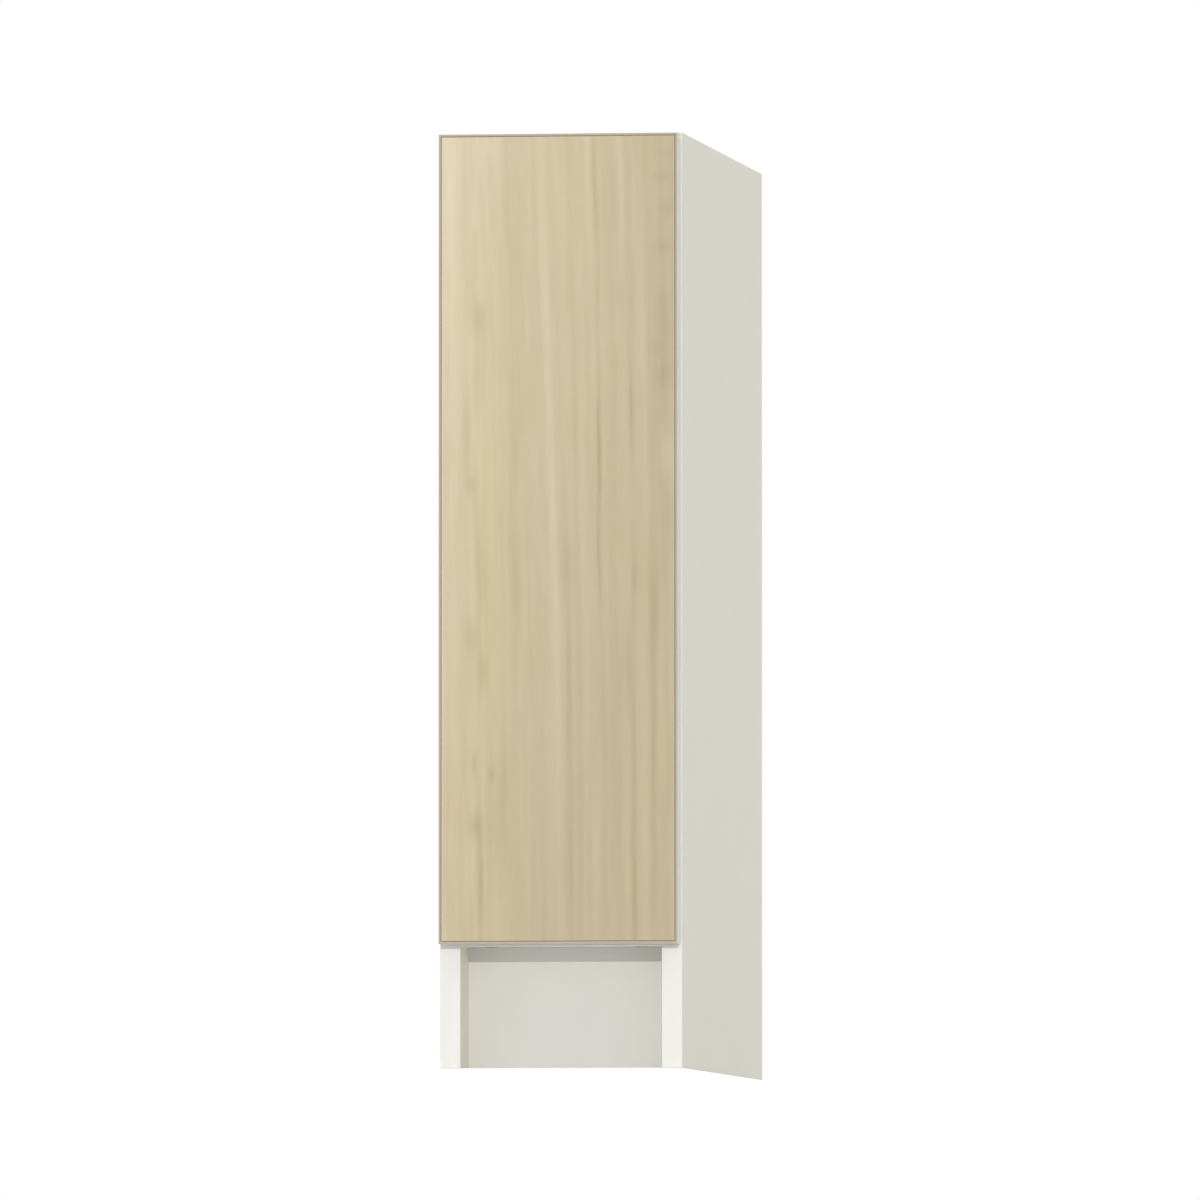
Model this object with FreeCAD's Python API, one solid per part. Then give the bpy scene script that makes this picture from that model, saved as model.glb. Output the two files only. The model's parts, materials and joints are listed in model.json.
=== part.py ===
"""A narrow handleless pull-out base cabinet, in millimetres.

The carcass is two full-height side panels with a bottom, two top rails, a back panel, two hanging
rails and a recessed toe kick between them, held by cam fittings and dowels. A slab front is bolted to
a three-tier plywood unit that runs on a pair of ball-bearing slides. A push latch under the front top
rail opens it.

+Z is up, the front faces -Y, and the origin is on the floor at the middle of the cabinet.
"""
import FreeCAD, Part
import math
import os
from FreeCAD import Vector

SIDES = {"left": -1, "right": 1}
SHELVES = ("middle_shelf", "upper_shelf")

# Cabinet
CABINET_W = 228.6
CABINET_H = 876.3
CABINET_D = 609.6
PANEL_T = 19.05
PANEL_BAND_T = 1.0
BACK_T = 6.35
TOE_H = 114.3
TOE_RECESS = 76.2
TOP_RAIL_W = 101.6
HANG_RAIL_H = 101.6
GROOVE_DEPTH = 6.25
GROOVE_PLAY = 0.15
TOE_BLOCK_SIZE = 25.0
TOE_BLOCK_H = 80.0

# Slab front
FRONT_T = 19.05
FRONT_BAND_T = 2.0
FRONT_ARRIS = 0.8
FRONT_REVEAL = 1.5
FRONT_GAP = 2.5
PUSH_TRAVEL = 2.0

# Cam fittings and dowels
BORE_PLAY = 0.1
CAM_R = 7.5
CAM_REACH = 24.0
CAM_PAST_BOLT = 4.0
CAM_SLOT_W = 2.0
CAM_SLOT_L = 9.0
CAM_SLOT_DEPTH = 2.5
BOLT_R = 3.5
BOLT_HEAD_R = 3.0
BOLT_NECK_R = 2.0
BOLT_NECK_L = 9.0
BOLT_THREAD_R = 2.5
BOLT_THREAD_L = 11.0
DOWEL_R = 4.0
DOWEL_L = 30.0
DOWEL_IN_SIDE = 10.0
FITTING_INSET = 40.0
FITTING_PITCH = 32.0
DOWEL_INSET = 25.0

# Holes that the installer uses
WALL_HOLE_R = 3.5
WALL_HOLE_SPACING = 101.6
WORKTOP_HOLE_R = 2.5
WORKTOP_HOLE_SPACING = 101.6

# Screws
SCREW_R = 2.0
SCREW_HEAD_R = 3.8
SCREW_HEAD_TOP_R = 3.0
SCREW_HEAD_T = 1.7
SCREW_IN_SIDE = 13.0
SCREW_IN_TRAY = 10.0
UNIT_SCREW_L = 38.0
THIN_SCREW_R = 1.5
THIN_SCREW_L = 18.0
BACK_SCREW_INSET = 30.0
LATCH_SCREW_L = 13.0
RECESS_W = 0.8
RECESS_L = 4.4
RECESS_DEPTH = 1.0

# Ball-bearing slides
SLIDE_T = 12.7
SLIDE_H = 45.7
SLIDE_SETBACK = 3.25
SLIDE_BACK_ROOM = 51.4
SLIDE_GAUGE = 1.2
SLIDE_FLANGE_T = 1.8
SLIDE_RUN_GAP = 0.25
SLIDE_SCREW_INSET = 35.0
SLIDE_SCREW_COUNT = 3
BALL_R = 2.0
BALL_SINK = 0.5
BALL_PLAY = 0.05
BALL_COUNT = 8
BALL_PITCH = 28.0
CAGE_T = 0.5
CAGE_ARM_T = 1.0
CAGE_LIP = 0.5
CAGE_END = 6.0

# Pull-out unit
BOARD_T = 12.7
UNIT_LIFT = 8.0
UNIT_TOP_ROOM = 8.0
UNIT_BACK_ROOM = 24.4
TRAY_SIDE_H = 76.2
RAIL_R = 3.2
RAIL_INSET = 8.0
RAIL_SEAT = 8.0
RAIL_HEIGHTS = (40.0, 78.0)
UNIT_SCREW_INSET = 37.0
TRAY_SCREW_INSET = 16.0

# Front adjusters
ADJUSTER_R = 10.0
ADJUSTER_T = 12.0
ADJUSTER_INSET = 37.0
ADJUSTER_FROM_END = 130.0
ADJUST_HOLE_R = 4.0
ADJUST_HEAD_R = 6.0
ADJUST_HEAD_TOP_R = 5.0
ADJUST_HEAD_T = 2.4

# Push latch
LATCH_W = 22.0
LATCH_H = 14.0
LATCH_L = 62.0
LATCH_SETBACK = 4.0
LATCH_EAR_W = 10.0
LATCH_EAR_L = 20.0
LATCH_EAR_T = 3.0
LATCH_END_WALL = 3.0
PLUNGER_R = 4.4
PLUNGER_L = 38.0
PLUNGER_PAD_T = 2.0
PLUNGER_PLAY = 0.1
PLUNGER_TIP_GAP = 0.3
SPRING_WIRE_R = 0.4
SPRING_R = 3.2
SPRING_TURNS = 7

# Planes that the pieces share
HALF_W = CABINET_W / 2
INNER_X = HALF_W - PANEL_T
FACE_Y = -CABINET_D / 2
REAR_Y = CABINET_D / 2
FRONT_BACK_Y = FACE_Y + FRONT_T
CARCASS_Y = FRONT_BACK_Y + FRONT_GAP
CORE_Y = CARCASS_Y + PANEL_BAND_T
HANG_Y = REAR_Y - PANEL_T
BACK_Y = HANG_Y - BACK_T
TOE_Y = FACE_Y + TOE_RECESS
BOTTOM_TOP_Z = TOE_H + PANEL_T
TOP_RAIL_Z = CABINET_H - PANEL_T
FRONT_RAIL_MID_Y = CARCASS_Y + TOP_RAIL_W / 2
REAR_RAIL_MID_Y = BACK_Y - TOP_RAIL_W / 2
HANG_MID_Y = HANG_Y + PANEL_T / 2

# Places in a slide: U runs from the side panel towards the unit, W up from the slide's middle
SLIDE_Y = CARCASS_Y + SLIDE_SETBACK
SLIDE_L = BACK_Y - SLIDE_BACK_ROOM - SLIDE_Y
SLIDE_MID_Y = SLIDE_Y + SLIDE_L / 2
BALL_GAP = 2 * (BALL_R - BALL_SINK)
OUTER_CAGE_U = SLIDE_GAUGE + SCREW_HEAD_T + SLIDE_RUN_GAP
MIDDLE_U = OUTER_CAGE_U + CAGE_T + SLIDE_RUN_GAP
INNER_CAGE_U = MIDDLE_U + SLIDE_GAUGE + SLIDE_RUN_GAP
INNER_U = INNER_CAGE_U + CAGE_T + SLIDE_RUN_GAP
INNER_WEB_U = SLIDE_T - SLIDE_GAUGE
FLANGE_END_U = INNER_WEB_U - SLIDE_RUN_GAP
OUTER_BALL_U = (MIDDLE_U + FLANGE_END_U) / 2
INNER_BALL_U = (INNER_U + FLANGE_END_U) / 2
OUTER_W = SLIDE_H / 2
OUTER_IN_W = OUTER_W - SLIDE_FLANGE_T
OUTER_BALL_W = OUTER_IN_W - BALL_GAP / 2
MIDDLE_W = OUTER_IN_W - BALL_GAP
MIDDLE_IN_W = MIDDLE_W - SLIDE_FLANGE_T
INNER_BALL_W = MIDDLE_IN_W - BALL_GAP / 2
INNER_W = MIDDLE_IN_W - BALL_GAP
INNER_IN_W = INNER_W - SLIDE_FLANGE_T
RACE_R = BALL_R + BALL_PLAY
RACE_HALF_W = math.sqrt(RACE_R ** 2 - (BALL_GAP / 2) ** 2)
RACE_DEPTH = RACE_R - BALL_GAP / 2

# Places of the pull-out unit
UNIT_X = INNER_X - SLIDE_T
TRAY_X = UNIT_X - BOARD_T
UNIT_Z = BOTTOM_TOP_Z + UNIT_LIFT
UNIT_TOP_Z = TOP_RAIL_Z - LATCH_H - UNIT_TOP_ROOM
UPRIGHT_Y = FRONT_BACK_Y + BOARD_T
UNIT_REAR_Y = BACK_Y - UNIT_BACK_ROOM
REAR_UPRIGHT_Y = UNIT_REAR_Y - BOARD_T
SLIDE_Z = UNIT_Z + TRAY_SIDE_H / 2
TIER_PITCH = (UNIT_TOP_Z - UNIT_Z) / (len(SHELVES) + 1)
SHELF_Z = {name: UNIT_Z + TIER_PITCH * tier for tier, name in enumerate(SHELVES, 1)}

# Places of the push latch
LATCH_Y = CARCASS_Y + LATCH_SETBACK
LATCH_MID_Y = LATCH_Y + LATCH_L / 2
LATCH_AXIS_Z = TOP_RAIL_Z - LATCH_H / 2
LATCH_BORE_END_Y = LATCH_Y + LATCH_L - LATCH_END_WALL
TIP_Y = FRONT_BACK_Y + PUSH_TRAVEL + PLUNGER_TIP_GAP
PLUNGER_Y = TIP_Y + PLUNGER_PAD_T
SPRING_Y = PLUNGER_Y + PLUNGER_L


def box(x_range, y_range, z_range):
    """A block between two planes along each axis."""
    (x0, x1), (y0, y1), (z0, z1) = (sorted(r) for r in (x_range, y_range, z_range))
    return Part.makeBox(x1 - x0, y1 - y0, z1 - z0, Vector(x0, y0, z0))


def rod(start, end, radius):
    """A round bar from one point to another."""
    start, end = Vector(*start), Vector(*end)
    return Part.makeCylinder(radius, (end - start).Length, start, end - start)


def cone(start, end, start_radius, end_radius):
    """A round taper from one point to another."""
    start, end = Vector(*start), Vector(*end)
    return Part.makeCone(start_radius, end_radius, (end - start).Length, start, end - start)


def prism(corners, along):
    """A flat shape of straight edges, pushed along a vector."""
    return Part.Face(Part.makePolygon(corners + corners[:1])).extrude(along)


def carve(solid, tools):
    """The solid with the tools cut out of it."""
    return solid.cut(tools).Solids[0]


def join(solid, others):
    """One solid made of pieces that meet."""
    return solid.fuse(others).removeSplitter().Solids[0]


def both(value):
    """The range, or the pair of places, from minus a value to plus that value."""
    return -value, value


# Screws

def cross_recess(point, out):
    """The driver recess in a screw head, from a point on its face."""
    up = Vector(1, 0, 0) if abs(out.z) > abs(out.x) + abs(out.y) else Vector(0, 0, 1)
    arms = []
    for arm, width in ((up, out.cross(up)), (out.cross(up), up)):
        corners = [point + arm * (a * RECESS_L / 2) + width * (b * RECESS_W / 2)
                   for a, b in ((-1, -1), (1, -1), (1, 1), (-1, 1))]
        arms.append(prism(corners, out * -RECESS_DEPTH))
    return arms


def pan_screw(seat, out, length, radius=SCREW_R, head=(SCREW_HEAD_R, SCREW_HEAD_TOP_R, SCREW_HEAD_T)):
    """A screw with its head on a seat point and its shank the other way."""
    seat, out = Vector(*seat), Vector(*out)
    head_r, top_r, head_t = head
    top = seat + out * head_t
    body = join(cone(seat, top, head_r, top_r), [rod(seat, seat - out * length, radius)])
    return carve(body, cross_recess(top, out))


def flush_screw(seat, out, length, play=0.0):
    """A countersunk screw with its head level with a seat point, or with some play, its hole."""
    seat, out = Vector(*seat), Vector(*out)
    neck = seat - out * SCREW_HEAD_T
    head = cone(seat, neck, SCREW_HEAD_R + play, SCREW_R + play)
    return join(head, [rod(neck, seat - out * (length + play), SCREW_R + play)])


def shank_hole(seat, out, length, radius=SCREW_R):
    """The plain hole that a screw's shank sits in."""
    seat, out = Vector(*seat), Vector(*out)
    return rod(seat, seat - out * (length + BORE_PLAY), radius + BORE_PLAY)


# Cam fittings and dowels

class Joinery:
    """The fittings of the carcass, and the bores that they need in each board."""

    def __init__(self):
        self.cams, self.bolts, self.dowels = [], [], []
        self.bores = {}

    def bore(self, board, *tools):
        self.bores.setdefault(board, []).extend(tools)

    def cam(self, board, y, z, face_z):
        """A cam in a board's face near each end, and its bolt in the side panel."""
        facing = math.copysign(1, face_z - z)
        deep_z = z - facing * CAM_PAST_BOLT
        for name, side in SIDES.items():
            out = Vector(side, 0, 0)
            end, middle = side * INNER_X, side * (INNER_X - CAM_REACH)
            neck, thread = middle + side * BOLT_NECK_L, end + side * BOLT_THREAD_L
            head = Vector(middle, y, z)
            body = rod((middle, y, face_z), (middle, y, deep_z), CAM_R - BORE_PLAY)
            hollow = [Part.makeSphere(BOLT_HEAD_R + BORE_PLAY, head, out),
                      rod(head, (end, y, z), BOLT_HEAD_R + BORE_PLAY)]
            slot_z = (face_z, face_z - facing * CAM_SLOT_DEPTH)
            slots = [box((middle - a, middle + a), (y - b, y + b), slot_z)
                     for a, b in ((CAM_SLOT_L / 2, CAM_SLOT_W / 2), (CAM_SLOT_W / 2, CAM_SLOT_L / 2))]
            self.cams.append(carve(body, hollow + slots))
            self.bolts.append(join(Part.makeSphere(BOLT_HEAD_R, head, out),
                                   [rod(head, (neck, y, z), BOLT_NECK_R),
                                    rod((neck, y, z), (end, y, z), BOLT_R),
                                    rod((end, y, z), (thread, y, z), BOLT_THREAD_R)]))
            self.bore(f"{name}_side_panel", rod((end, y, z), (thread + side * BORE_PLAY, y, z),
                                                BOLT_THREAD_R + BORE_PLAY))
            self.bore(board, rod((middle, y, face_z), (middle, y, deep_z - facing * BORE_PLAY), CAM_R),
                      rod(head, (end, y, z), BOLT_R + BORE_PLAY))

    def dowel(self, board, y, z):
        """A dowel across each end of a board, into the side panel."""
        for name, side in SIDES.items():
            end = side * INNER_X
            outer = end + side * DOWEL_IN_SIDE
            inner = outer - side * DOWEL_L
            self.dowels.append(rod((inner, y, z), (outer, y, z), DOWEL_R - BORE_PLAY))
            self.bore(board, rod((inner - side * BORE_PLAY, y, z), (end, y, z), DOWEL_R))
            self.bore(f"{name}_side_panel", rod((end, y, z), (outer + side * BORE_PLAY, y, z), DOWEL_R))


def join_carcass():
    """Every cam and dowel between the side panels and the boards across them."""
    joints = Joinery()
    for y, inward in ((CARCASS_Y + FITTING_INSET, 1), (BACK_Y - FITTING_INSET, -1)):
        joints.cam("bottom_panel", y, TOE_H + PANEL_T / 2, TOE_H)
        joints.dowel("bottom_panel", y + inward * FITTING_PITCH, TOE_H + PANEL_T / 2)
    for rail, middle_y in (("front_top_rail", FRONT_RAIL_MID_Y), ("rear_top_rail", REAR_RAIL_MID_Y)):
        joints.cam(rail, middle_y - FITTING_PITCH / 2, TOP_RAIL_Z + PANEL_T / 2, CABINET_H)
        joints.dowel(rail, middle_y + FITTING_PITCH / 2, TOP_RAIL_Z + PANEL_T / 2)
    for board, y, low, high in (("upper_hanging_rail", HANG_MID_Y, CABINET_H - HANG_RAIL_H, CABINET_H),
                                ("lower_hanging_rail", HANG_MID_Y, TOE_H, TOE_H + HANG_RAIL_H),
                                ("toe_kick", TOE_Y + PANEL_T / 2, 0, TOE_H)):
        joints.dowel(board, y, low + DOWEL_INSET)
        joints.dowel(board, y, high - DOWEL_INSET)
    return joints


# Carcass boards

def wall_holes():
    """The two holes for wall screws, through the upper hanging rail and the back panel."""
    z = CABINET_H - HANG_RAIL_H / 2
    return [rod((x, BACK_Y, z), (x, REAR_Y, z), WALL_HOLE_R) for x in both(WALL_HOLE_SPACING / 2)]


def worktop_holes(middle_y):
    """The two holes up through a top rail for the screws that hold a worktop."""
    return [rod((x, middle_y, TOP_RAIL_Z), (x, middle_y, CABINET_H), WORKTOP_HOLE_R)
            for x in both(WORKTOP_HOLE_SPACING / 2)]


def back_screw_seats():
    """Where the back panel is screwed to the hanging rails behind it."""
    heights = (TOE_H + HANG_RAIL_H / 2, CABINET_H - HANG_RAIL_H + BACK_SCREW_INSET)
    return [(x, BACK_Y, z) for x in both(INNER_X - BACK_SCREW_INSET) for z in heights]


def latch_screw_seats():
    """Where the latch's ears are screwed up into the front top rail."""
    z = TOP_RAIL_Z - LATCH_EAR_T
    return [(x, LATCH_MID_Y, z) for x in both((LATCH_W + LATCH_EAR_W) / 2)]


def slide_screw_ys():
    """Where the screws sit along a slide."""
    step = (SLIDE_L - 2 * SLIDE_SCREW_INSET) / (SLIDE_SCREW_COUNT - 1)
    return [SLIDE_Y + SLIDE_SCREW_INSET + step * i for i in range(SLIDE_SCREW_COUNT)]


def side_panel(name, side, joints):
    board = box((side * INNER_X, side * HALF_W), (CORE_Y, REAR_Y), (0, CABINET_H))
    groove = box((side * INNER_X, side * (INNER_X + GROOVE_DEPTH)),
                 (BACK_Y - GROOVE_PLAY, HANG_Y + GROOVE_PLAY), (0, CABINET_H))
    pilots = [shank_hole((side * INNER_X, y, SLIDE_Z), (-side, 0, 0), SCREW_IN_SIDE)
              for y in slide_screw_ys()]
    return carve(board, [groove, *pilots, *joints.bores[f"{name}_side_panel"]])


def toe_block(side):
    """A three-cornered glue block behind the toe kick, against a side panel and under the bottom."""
    x, y = side * INNER_X, TOE_Y + PANEL_T
    corners = [Vector(x, y, TOE_H), Vector(x - side * TOE_BLOCK_SIZE, y, TOE_H),
               Vector(x, y + TOE_BLOCK_SIZE, TOE_H)]
    return prism(corners, Vector(0, 0, -TOE_BLOCK_H))


def top_rails(bores):
    across, high = both(INNER_X), (TOP_RAIL_Z, CABINET_H)
    latch_pilots = [shank_hole(seat, (0, 0, -1), LATCH_SCREW_L, THIN_SCREW_R)
                    for seat in latch_screw_seats()]
    front_rail = box(across, (CORE_Y, CARCASS_Y + TOP_RAIL_W), high)
    rear_rail = box(across, (BACK_Y - TOP_RAIL_W, BACK_Y), high)
    return {
        "front_top_rail": carve(front_rail, bores["front_top_rail"] + latch_pilots
                                + worktop_holes(FRONT_RAIL_MID_Y)),
        "rear_top_rail": carve(rear_rail, bores["rear_top_rail"] + worktop_holes(REAR_RAIL_MID_Y)),
        "top_rail_edge_band": box(across, (CARCASS_Y, CORE_Y), high),
    }


def back_boards(bores):
    """The back panel in its grooves, and the two hanging rails behind it."""
    across, thick = both(INNER_X), (HANG_Y, REAR_Y)
    pilots = [shank_hole(seat, (0, -1, 0), THIN_SCREW_L, THIN_SCREW_R) for seat in back_screw_seats()]
    back = box(both(INNER_X + GROOVE_DEPTH - GROOVE_PLAY), (BACK_Y, HANG_Y), (TOE_H, CABINET_H))
    upper = box(across, thick, (CABINET_H - HANG_RAIL_H, CABINET_H))
    lower = box(across, thick, (TOE_H, TOE_H + HANG_RAIL_H))
    return {
        "back_panel": carve(back, pilots + wall_holes()),
        "upper_hanging_rail": carve(upper, bores["upper_hanging_rail"] + pilots + wall_holes()),
        "lower_hanging_rail": carve(lower, bores["lower_hanging_rail"] + pilots),
        "back_panel_screws": [pan_screw(seat, (0, -1, 0), THIN_SCREW_L, THIN_SCREW_R)
                              for seat in back_screw_seats()],
    }


def carcass(joints):
    across, bores = both(INNER_X), joints.bores
    bottom_z = (TOE_H, BOTTOM_TOP_Z)
    parts = {
        "bottom_panel": carve(box(across, (CORE_Y, BACK_Y), bottom_z), bores["bottom_panel"]),
        "bottom_edge_band": box(across, (CARCASS_Y, CORE_Y), bottom_z),
        "toe_kick": carve(box(across, (TOE_Y, TOE_Y + PANEL_T), (0, TOE_H)), bores["toe_kick"]),
        "toe_kick_blocks": [toe_block(side) for side in SIDES.values()],
        "cam_locks": joints.cams,
        "cam_bolts": joints.bolts,
        "wood_dowels": joints.dowels,
    }
    for name, side in SIDES.items():
        parts[f"{name}_side_panel"] = side_panel(name, side, joints)
        parts[f"{name}_side_edge_band"] = box((side * INNER_X, side * HALF_W), (CARCASS_Y, CORE_Y),
                                              (0, CABINET_H))
    return {**parts, **top_rails(bores), **back_boards(bores)}


# Ball-bearing slides

def race(ball_u, face_w, deep_w, forward):
    """A round ball groove in a flange face: its start, its deepest point and its end."""
    points = [(ball_u - RACE_HALF_W, face_w), (ball_u, deep_w, "arc"), (ball_u + RACE_HALF_W, face_w)]
    return points if forward else points[::-1]


def outer_outline():
    deep = OUTER_IN_W + RACE_DEPTH
    return [(0, -OUTER_W), (FLANGE_END_U, -OUTER_W), (FLANGE_END_U, -OUTER_IN_W),
            *race(OUTER_BALL_U, -OUTER_IN_W, -deep, False),
            (SLIDE_GAUGE, -OUTER_IN_W), (SLIDE_GAUGE, OUTER_IN_W),
            *race(OUTER_BALL_U, OUTER_IN_W, deep, True),
            (FLANGE_END_U, OUTER_IN_W), (FLANGE_END_U, OUTER_W), (0, OUTER_W)]


def middle_outline():
    outside, inside, web = MIDDLE_W - RACE_DEPTH, MIDDLE_IN_W + RACE_DEPTH, MIDDLE_U + SLIDE_GAUGE
    return [(MIDDLE_U, -MIDDLE_W), *race(OUTER_BALL_U, -MIDDLE_W, -outside, True),
            (FLANGE_END_U, -MIDDLE_W), (FLANGE_END_U, -MIDDLE_IN_W),
            *race(INNER_BALL_U, -MIDDLE_IN_W, -inside, False),
            (web, -MIDDLE_IN_W), (web, MIDDLE_IN_W),
            *race(INNER_BALL_U, MIDDLE_IN_W, inside, True),
            (FLANGE_END_U, MIDDLE_IN_W), (FLANGE_END_U, MIDDLE_W),
            *race(OUTER_BALL_U, MIDDLE_W, outside, False), (MIDDLE_U, MIDDLE_W)]


def inner_outline():
    deep = INNER_W - RACE_DEPTH
    return [(INNER_U, -INNER_W), *race(INNER_BALL_U, -INNER_W, -deep, True),
            (SLIDE_T, -INNER_W), (SLIDE_T, INNER_W),
            *race(INNER_BALL_U, INNER_W, deep, False),
            (INNER_U, INNER_W), (INNER_U, INNER_IN_W), (INNER_WEB_U, INNER_IN_W),
            (INNER_WEB_U, -INNER_IN_W), (INNER_U, -INNER_IN_W)]


def slide_member(side, outline):
    """One rolled steel member, as long as the slide, from the outline of its section."""
    edges, last, deepest = [], None, None
    for point in outline + outline[:1]:
        here = Vector(side * (INNER_X - point[0]), SLIDE_Y, SLIDE_Z + point[1])
        if "arc" in point:
            deepest = here
            continue
        if deepest is not None:
            edges.append(Part.Arc(last, deepest, here).toShape())
        elif last is not None:
            edges.append(Part.LineSegment(last, here).toShape())
        last, deepest = here, None
    return Part.Face(Part.Wire(edges)).extrude(Vector(0, SLIDE_L, 0))


def web_holes(side, web_u):
    """The screw holes through the web of a fixed member."""
    x = side * (INNER_X - web_u)
    return [rod((x, y, SLIDE_Z), (x - side * SLIDE_GAUGE, y, SLIDE_Z), SCREW_R + BORE_PLAY)
            for y in slide_screw_ys()]


def ball_points(side, ball_u, ball_w):
    """The centres of one cage's balls, in an upper and a lower row at the slide's middle."""
    start = SLIDE_MID_Y - BALL_PITCH * (BALL_COUNT - 1) / 2
    return [Vector(side * (INNER_X - ball_u), start + BALL_PITCH * i, SLIDE_Z + w)
            for w in both(ball_w) for i in range(BALL_COUNT)]


def ball_cage(side, web_u, ball_u, ball_w):
    """A U-shaped steel strip that spaces the balls of two facing rows."""
    half_l = BALL_PITCH * (BALL_COUNT - 1) / 2 + BALL_R + CAGE_END
    y_range = (SLIDE_MID_Y - half_l, SLIDE_MID_Y + half_l)
    near, web, far = (side * (INNER_X - u) for u in (web_u, web_u + CAGE_T, ball_u + BALL_R + CAGE_LIP))
    arm = Vector(0, 0, CAGE_ARM_T)
    high, low = ball_w + CAGE_ARM_T / 2, ball_w - CAGE_ARM_T / 2
    strip = box((near, far), y_range, (SLIDE_Z - high, SLIDE_Z + high))
    hollow = box((web, far), y_range, (SLIDE_Z - low, SLIDE_Z + low))
    seats = [rod(p - arm, p + arm, RACE_R) for p in ball_points(side, ball_u, ball_w)]
    return carve(strip, [hollow, *seats])


def slides():
    parts = {"slide_cabinet_screws": [], "slide_tray_screws": []}
    for name, side in SIDES.items():
        parts[f"{name}_slide_outer"] = carve(slide_member(side, outer_outline()), web_holes(side, 0))
        parts[f"{name}_slide_middle"] = slide_member(side, middle_outline())
        parts[f"{name}_slide_inner"] = carve(slide_member(side, inner_outline()),
                                             web_holes(side, INNER_WEB_U))
        for row, web_u, ball_u, ball_w in (("outer", OUTER_CAGE_U, OUTER_BALL_U, OUTER_BALL_W),
                                           ("inner", INNER_CAGE_U, INNER_BALL_U, INNER_BALL_W)):
            parts[f"{name}_{row}_cage"] = ball_cage(side, web_u, ball_u, ball_w)
            parts[f"{name}_{row}_balls"] = [Part.makeSphere(BALL_R, p)
                                            for p in ball_points(side, ball_u, ball_w)]
        for node, u, into, depth in (("slide_cabinet_screws", SLIDE_GAUGE, side, SCREW_IN_SIDE),
                                     ("slide_tray_screws", INNER_WEB_U, -side, SCREW_IN_TRAY)):
            parts[node] += [pan_screw((side * (INNER_X - u), y, SLIDE_Z), (-into, 0, 0),
                                      SLIDE_GAUGE + depth) for y in slide_screw_ys()]
    return parts


# Pull-out unit

def unit_screw_seats():
    """Each unit screw's seat on the front or rear upright, and the way that its head faces."""
    places = [(x, z + BOARD_T / 2) for z in (UNIT_Z, *SHELF_Z.values())
              for x in both(UNIT_X - UNIT_SCREW_INSET)]
    places += [(x, z) for z in (UNIT_Z + TRAY_SCREW_INSET, UNIT_Z + TRAY_SIDE_H - TRAY_SCREW_INSET)
               for x in both(UNIT_X - BOARD_T / 2)]
    return [((x, y, z), (0, out, 0)) for y, out in ((FRONT_BACK_Y, -1), (UNIT_REAR_Y, 1))
            for x, z in places]


def shelf_rails(shelf, play=0.0):
    """The rods along both sides of a shelf, seated in the uprights, or with some play, their seats."""
    start, end = UPRIGHT_Y - RAIL_SEAT - play, REAR_UPRIGHT_Y + RAIL_SEAT + play
    floor_z = SHELF_Z[shelf] + BOARD_T
    return [rod((x, start, floor_z + h), (x, end, floor_z + h), RAIL_R + play)
            for h in RAIL_HEIGHTS for x in both(UNIT_X - RAIL_INSET)]


def adjuster_places():
    """Where the front is bolted to the front upright, as x and z."""
    return [(x, z) for z in (UNIT_Z + ADJUSTER_FROM_END, UNIT_TOP_Z - ADJUSTER_FROM_END)
            for x in both(UNIT_X - ADJUSTER_INSET)]


def pullout_unit():
    full, between, high = both(UNIT_X), (UPRIGHT_Y, REAR_UPRIGHT_Y), (UNIT_Z, UNIT_TOP_Z)
    holes = [flush_screw(seat, out, UNIT_SCREW_L, BORE_PLAY) for seat, out in unit_screw_seats()]
    sockets = [socket for shelf in SHELVES for socket in shelf_rails(shelf, BORE_PLAY)]
    bolt_holes = [rod((x, FRONT_BACK_Y, z), (x, UPRIGHT_Y, z), ADJUST_HOLE_R)
                  for x, z in adjuster_places()]
    parts = {
        "front_upright": carve(box(full, (FRONT_BACK_Y, UPRIGHT_Y), high), holes + sockets + bolt_holes),
        "rear_upright": carve(box(full, (REAR_UPRIGHT_Y, UNIT_REAR_Y), high), holes + sockets),
        "tray_bottom": carve(box(both(TRAY_X), between, (UNIT_Z, UNIT_Z + BOARD_T)), holes),
        "unit_screws": [carve(flush_screw(seat, out, UNIT_SCREW_L),
                              cross_recess(Vector(*seat), Vector(*out)))
                        for seat, out in unit_screw_seats()],
    }
    for name, side in SIDES.items():
        board = box((side * TRAY_X, side * UNIT_X), between, (UNIT_Z, UNIT_Z + TRAY_SIDE_H))
        pilots = [shank_hole((side * UNIT_X, y, SLIDE_Z), (side, 0, 0), SCREW_IN_TRAY)
                  for y in slide_screw_ys()]
        parts[f"{name}_tray_side"] = carve(board, holes + pilots)
    for shelf, z in SHELF_Z.items():
        parts[shelf] = carve(box(full, between, (z, z + BOARD_T)), holes)
        parts[f"{shelf}_rails"] = shelf_rails(shelf)
    return parts


# Slab front

def front_panel(x_range, y_range, z_range):
    """The laminated board, with a fine arris round its face and pockets for the adjusters behind."""
    board = box(x_range, y_range, z_range)
    face_edges = [edge for edge in board.Edges if edge.BoundBox.YMax < FACE_Y + FRONT_ARRIS]
    board = board.makeChamfer(FRONT_ARRIS, face_edges)
    pockets = [rod((x, FRONT_BACK_Y, z), (x, FRONT_BACK_Y - ADJUSTER_T - BORE_PLAY, z), ADJUSTER_R)
               for x, z in adjuster_places()]
    return carve(board, pockets)


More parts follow.
